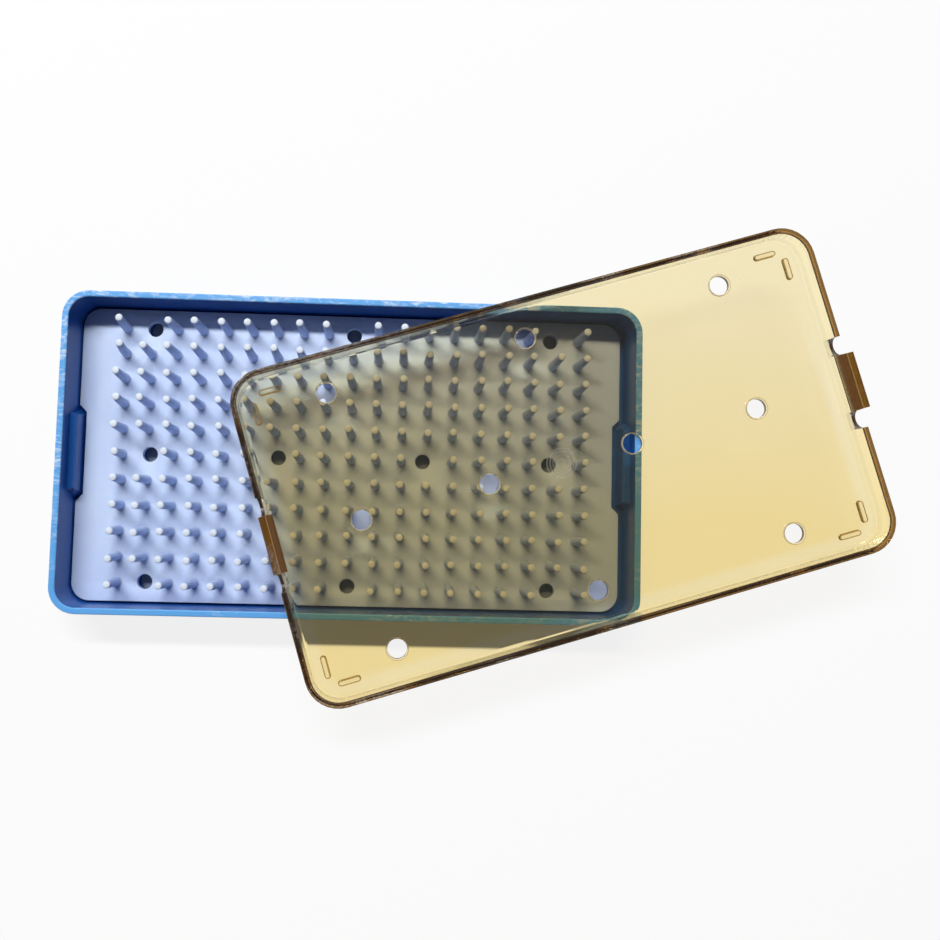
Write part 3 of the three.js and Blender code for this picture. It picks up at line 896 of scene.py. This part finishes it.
def make_finger(settings, height):
    """One tapered finger, standing on z = 0, with a flared foot and a rounded tip."""
    bm = bmesh.new()
    bmesh.ops.create_cone(
        bm, cap_ends=True, segments=12, depth=height,
        radius1=settings.base_diameter / 2, radius2=settings.tip_diameter / 2,
    )
    bmesh.ops.translate(bm, vec=(0, 0, height / 2), verts=bm.verts)
    tip_edges = [e for e in bm.edges if min(v.co.z for v in e.verts) > height * 0.99]
    bmesh.ops.bevel(
        bm, geom=tip_edges, offset=settings.tip_round, segments=2,
        profile=0.5, affect="EDGES", material=-1,
    )
    # Rings for the flare at the foot and for the bend
    for share in (0.06, 0.3, 0.55, 0.8):
        bmesh.ops.bisect_plane(
            bm, geom=bm.verts[:] + bm.edges[:] + bm.faces[:],
            plane_co=(0, 0, height * share), plane_no=(0, 0, 1),
        )
    foot = [v for v in bm.verts if v.co.z < height * 0.01]
    bmesh.ops.scale(bm, vec=(settings.foot_flare, settings.foot_flare, 1.0), verts=foot)
    underside = [f for f in bm.faces if f.normal.z < -0.99]
    bmesh.ops.delete(bm, geom=underside, context="FACES_ONLY")
    bmesh.ops.holes_fill(bm, edges=bm.edges, sides=0)
    return bm


def lean_of_tip(settings, row, column):
    """How far a finger's tip leans along X and Y, by its row and column from the front left."""
    along = column / (settings.columns - 1)
    across = row / (settings.rows - 1)
    to_right = min(1.0, max(0.0, (along - 0.5) / 0.5))
    tip_x = settings.lean_left + (settings.lean_right - settings.lean_left) * to_right
    if column == 0:
        tip_x = -settings.lean_left
    tip_y = settings.lean_front + (settings.lean_back - settings.lean_front) * across
    return tip_x, tip_y


def make_fingers(settings, middle):
    """All the fingers but those missing at the vents, each with a slight lean of its own."""
    sunk = 0.3 * MM
    foot_level = MAT_LOW.z + settings.sheet_thickness - sunk
    height = MAT_HIGH.z - foot_level
    chance = random.Random(settings.seed)
    pattern = make_finger(settings, height)
    mesh = bpy.data.meshes.new("finger_pattern")
    pattern.to_mesh(mesh)
    pattern.free()
    vents = vent_places(settings)
    clear = (settings.vent_diameter + settings.base_diameter) / 2
    bm = bmesh.new()
    for row in range(settings.rows):
        for column in range(settings.columns):
            x = (column - (settings.columns - 1) / 2) * settings.pitch
            y = (row - (settings.rows - 1) / 2) * settings.pitch
            tip_x, tip_y = lean_of_tip(settings, row, column)
            tip_x += settings.lean * max(-2, min(2, chance.gauss(0, 1)))
            tip_y += settings.lean * max(-2, min(2, chance.gauss(0, 1)))
            turn = chance.uniform(0, math.pi / 6)
            if any(math.hypot(x - vx, y - vy) < clear for vx, vy in vents):
                continue
            start = len(bm.verts)
            bm.from_mesh(mesh)
            bm.verts.ensure_lookup_table()
            made = bm.verts[start:]
            bmesh.ops.rotate(bm, cent=(0, 0, 0), matrix=Matrix.Rotation(turn, 3, "Z"), verts=made)
            for vert in made:
                bend = (vert.co.z / height) ** 1.5
                vert.co.x += bend * tip_x
                vert.co.y += bend * tip_y
            bmesh.ops.translate(
                bm, vec=(middle.x + x, middle.y + y, foot_level), verts=made,
            )
    bpy.data.meshes.remove(mesh)
    return new_piece("fingers", bm)


class TRAY_OT_base_tray(Operator):
    """Finish the moulded base tray"""

    bl_idname = "tray.base_tray"
    bl_label = "Base Tray"

    def execute(self, context):
        """Give the tray's node its finish."""
        tray = frame["nodes"]["base_tray"]
        give_material(tray, moulded_polypropylene(context.scene.tray_base))
        return {"FINISHED"}


class TRAY_OT_finger_mat(Operator):
    """Make the silicone mat with its tapered fingers"""

    bl_idname = "tray.finger_mat"
    bl_label = "Finger Mat"

    def execute(self, context):
        """Make the sheet and the fingers one piece, in the place of the mat's node."""
        settings = context.scene.tray_mat
        middle = (MAT_LOW + MAT_HIGH) / 2
        mat = make_sheet(settings, middle)
        fingers = make_fingers(settings, middle)
        if len(fingers.data.polygons) == 0:
            raise RuntimeError("the finger mat has no fingers")
        joined = bmesh.new()
        joined.from_mesh(mat.data)
        joined.from_mesh(fingers.data)
        joined.to_mesh(mat.data)
        joined.free()
        bpy.data.objects.remove(fingers)
        mat.data.shade_smooth()
        mat.data.set_sharp_from_angle(angle=math.radians(50))
        give_material(mat, moulded_silicone(settings))
        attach(mat, "mat")
        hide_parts("finger_mat")
        return {"FINISHED"}


class TRAY_OT_lid(Operator):
    """Finish the clear amber lid and its snap tabs"""

    bl_idname = "tray.lid"
    bl_label = "Lid"

    def execute(self, context):
        """Give the nodes of the lid and the two tabs their finish."""
        settings = context.scene.tray_lid
        amber = moulded_polyetherimide(
            "moulded_polyetherimide", settings, LID_HIGH.z - 0.3 * MM, is_tab=False,
        )
        give_material(frame["nodes"]["lid_shell"], amber)
        brown = moulded_polyetherimide(
            "moulded_polyetherimide_edge_on", settings, TAB_LOW.z + 1.0 * MM, is_tab=True,
        )
        for name in ("snap_tab_right", "snap_tab_left"):
            give_material(frame["nodes"][name], brown)
        return {"FINISHED"}


class TRAY_OT_stage(Operator):
    """Set the floor, the lamps and the camera"""

    bl_idname = "tray.stage"
    bl_label = "Stage"

    def execute(self, context):
        """Make the floor, the light and the camera."""
        settings = context.scene.tray_stage
        self.make_floor(settings)
        self.light_room(context.scene, settings)
        self.place_camera(context.scene, settings)
        return {"FINISHED"}

    def make_floor(self, settings):
        """White floor that keeps the tray's shadow, with painted shade: dark under the tray, and
        with the white taken off where the front wall's shadow falls.
        """
        bm = bmesh.new()
        bmesh.ops.create_grid(bm, x_segments=1, y_segments=1, size=settings.floor_size / 2)
        bmesh.ops.translate(bm, vec=(0, 0, -0.1 * MM), verts=bm.verts)
        floor = new_piece("floor", bm)
        material, tree, output = new_material("white_floor")
        place = add(tree, "ShaderNodeTexCoord", out="Object")
        half_x, half_y = TRAY_HIGH.x, TRAY_HIGH.y
        round_corner = 8 * MM
        under = past_outline(tree, folded(tree, place), half_x, half_y, round_corner)
        # Painted shadow: a strip reaching past the tray's front, where the front wall's shadow
        # falls, loses most of its white past the glass, so the real shadow there shows darker
        shift = settings.shadow_reach / 2
        lower = add(
            tree, "ShaderNodeVectorMath", {0: place, 1: (0, shift, 0)}, operation="ADD",
        )
        shaded = past_outline(tree, folded(tree, lower), half_x, half_y + shift, round_corner)
        # Painted shade: under the tray the floor takes a darker grey and no white
        outside = add(
            tree, "ShaderNodeMapRange",
            {"Value": under, "From Min": -2.0 * MM, "From Max": -1.0 * MM},
        )
        past_shadow = add(
            tree, "ShaderNodeMapRange",
            {
                "Value": shaded, "From Min": -0.8 * MM, "From Max": 0.2 * MM,
                "To Min": settings.shadow_white, "To Max": settings.glass_white,
            },
        )
        first, camera_ray, past_glass = first_rays(tree)
        seen = add(
            tree, "ShaderNodeMath", {0: camera_ray, 1: settings.camera_white},
            operation="MULTIPLY",
        )
        through = add(
            tree, "ShaderNodeMath", {0: past_glass, 1: past_shadow}, operation="MULTIPLY",
        )
        shown = add(tree, "ShaderNodeMath", {0: seen, 1: through}, operation="MAXIMUM")
        white_share = add(tree, "ShaderNodeMath", {0: shown, 1: outside}, operation="MULTIPLY")
        ground = add(
            tree, "ShaderNodeMix",
            {0: outside, 6: rgba(settings.shade_under_tray), 7: rgba(settings.floor_white)},
            out=2, data_type="RGBA",
        )
        lit = add(tree, "ShaderNodeBsdfDiffuse", {"Color": ground})
        white = add(tree, "ShaderNodeEmission", {"Color": (1, 1, 1, 1), "Strength": 1.0})
        mixed = add(tree, "ShaderNodeMixShader", {0: white_share, 1: lit, 2: white})
        tree.links.new(mixed, output.inputs["Surface"])
        give_material(floor, material)

    def light_room(self, scene, settings):
        """One long lamp behind the tray, along its long side, and an even room."""
        lamp = bpy.data.lights.new("long_lamp", "AREA")
        lamp.shape = "RECTANGLE"
        lamp.energy = settings.key_power
        lamp.size = settings.key_length
        lamp.size_y = settings.key_width
        key = bpy.data.objects.new("long_lamp", lamp)
        key.location = settings.key_place
        key.rotation_euler = (-math.atan2(key.location.y, key.location.z), 0, 0)
        scene.collection.objects.link(key)

        world = bpy.data.worlds.new("room")
        world.use_nodes = True
        tree = world.node_tree
        first, camera_ray, past_glass = first_rays(tree)
        # White all round, but dim overhead, where only a gloss shows it
        direction = add(tree, "ShaderNodeTexCoord", out="Generated")
        height = add(tree, "ShaderNodeSeparateXYZ", {"Vector": direction}, out="Z")
        white = add(
            tree, "ShaderNodeMapRange",
            {"Value": height, "From Min": 0.75, "From Max": 0.35, "To Min": settings.overhead},
        )
        strength = add(
            tree, "ShaderNodeMix", {0: first, 2: settings.sky_strength, 3: white},
        )
        backdrop = tree.nodes["Background"]
        backdrop.inputs["Color"].default_value = (1.0, 1.0, 1.0, 1.0)
        tree.links.new(strength, backdrop.inputs["Strength"])
        scene.world = world
        scene.view_settings.view_transform = "Standard"

    def place_camera(self, scene, settings):
        """Camera almost straight above the tray."""
        lens = bpy.data.cameras.new("camera")
        lens.sensor_width = 36.0
        lens.lens = settings.focal_pixels / IMAGE_PIXELS * lens.sensor_width
        lens.shift_x = (IMAGE_PIXELS / 2 - settings.centre_x) / IMAGE_PIXELS
        lens.shift_y = (settings.centre_y - IMAGE_PIXELS / 2) / IMAGE_PIXELS
        lens.clip_start = 0.01
        camera = bpy.data.objects.new("camera", lens)
        right = Vector(settings.camera_right).normalized()
        back = right.cross(Vector(settings.camera_up)).normalized()
        turned = Matrix((right, back.cross(right), back)).transposed().to_4x4()
        camera.matrix_world = Matrix.Translation(settings.camera_place) @ turned
        scene.collection.objects.link(camera)
        scene.camera = camera


class TRAY_PT_panel(Panel):
    """Sidebar list of the tray's pieces"""

    bl_label = "Sterilization Tray"
    bl_idname = "TRAY_PT_panel"
    bl_space_type = "VIEW_3D"
    bl_region_type = "UI"
    bl_category = "Tray"

    def draw(self, context):
        """One button for each operator."""
        for step in STEPS:
            self.layout.operator(step.bl_idname)


GROUPS = {
    "tray_base": BaseTraySettings,
    "tray_mat": FingerMatSettings,
    "tray_lid": LidSettings,
    "tray_stage": StageSettings,
}
STEPS = (TRAY_OT_base_tray, TRAY_OT_finger_mat, TRAY_OT_lid, TRAY_OT_stage)


def register():
    """Make the settings, the operators and the panel known to Blender."""
    for cls in (*GROUPS.values(), *STEPS, TRAY_PT_panel):
        bpy.utils.register_class(cls)
    for name, group in GROUPS.items():
        setattr(bpy.types.Scene, name, PointerProperty(type=group))


def unregister():
    """Take them all out again."""
    for name in GROUPS:
        delattr(bpy.types.Scene, name)
    for cls in (TRAY_PT_panel, *reversed(STEPS), *reversed(tuple(GROUPS.values()))):
        bpy.utils.unregister_class(cls)


def main():
    """Build every piece in order."""
    register()
    bpy.ops.tray.base_tray()
    bpy.ops.tray.finger_mat()
    bpy.ops.tray.lid()
    bpy.ops.tray.stage()


if __name__ == "__main__":
    main()
